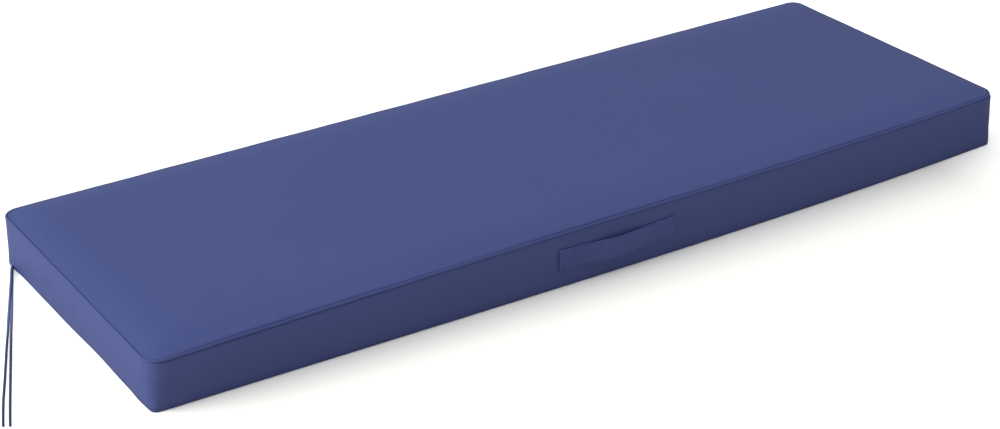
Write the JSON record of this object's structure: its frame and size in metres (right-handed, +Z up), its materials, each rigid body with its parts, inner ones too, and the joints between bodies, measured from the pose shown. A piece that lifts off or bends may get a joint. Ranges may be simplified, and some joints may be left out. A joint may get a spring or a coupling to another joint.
{
  "type": "bench cushion",
  "caption": "Long boxed bench cushion with a gently crowned top, a piped top seam, a box-stitched carry strap on its front side and loose ties at a rear corner.",
  "frame": {"origin": "on the surface under the cushion, at the centre of the bounding box of the cushion with its piping and strap, the ties left out", "axes": "+X along the cushion's length, away from the end with the ties; -Y out of the front side that carries the strap; +Z up"},
  "size_m": [1.5342, 0.4866, 0.0888],
  "materials": {
    "cover_cloth": "smooth, finely woven polyester cloth, matt with a faint sheen, blue",
    "piping_cloth": "the cover's cloth cut on the bias round a thin cord, matt",
    "strap_cloth": "doubled cover cloth, edge stitched, matt",
    "tie_cord": "soft braided cord, matt"
  },
  "bodies": {
    "root": {"cushion_body": "cover_cloth", "top_piping": "piping_cloth", "handle_strap": "strap_cloth", "tie_inner": "tie_cord", "tie_outer": "tie_cord"}
  },
  "joints": []
}
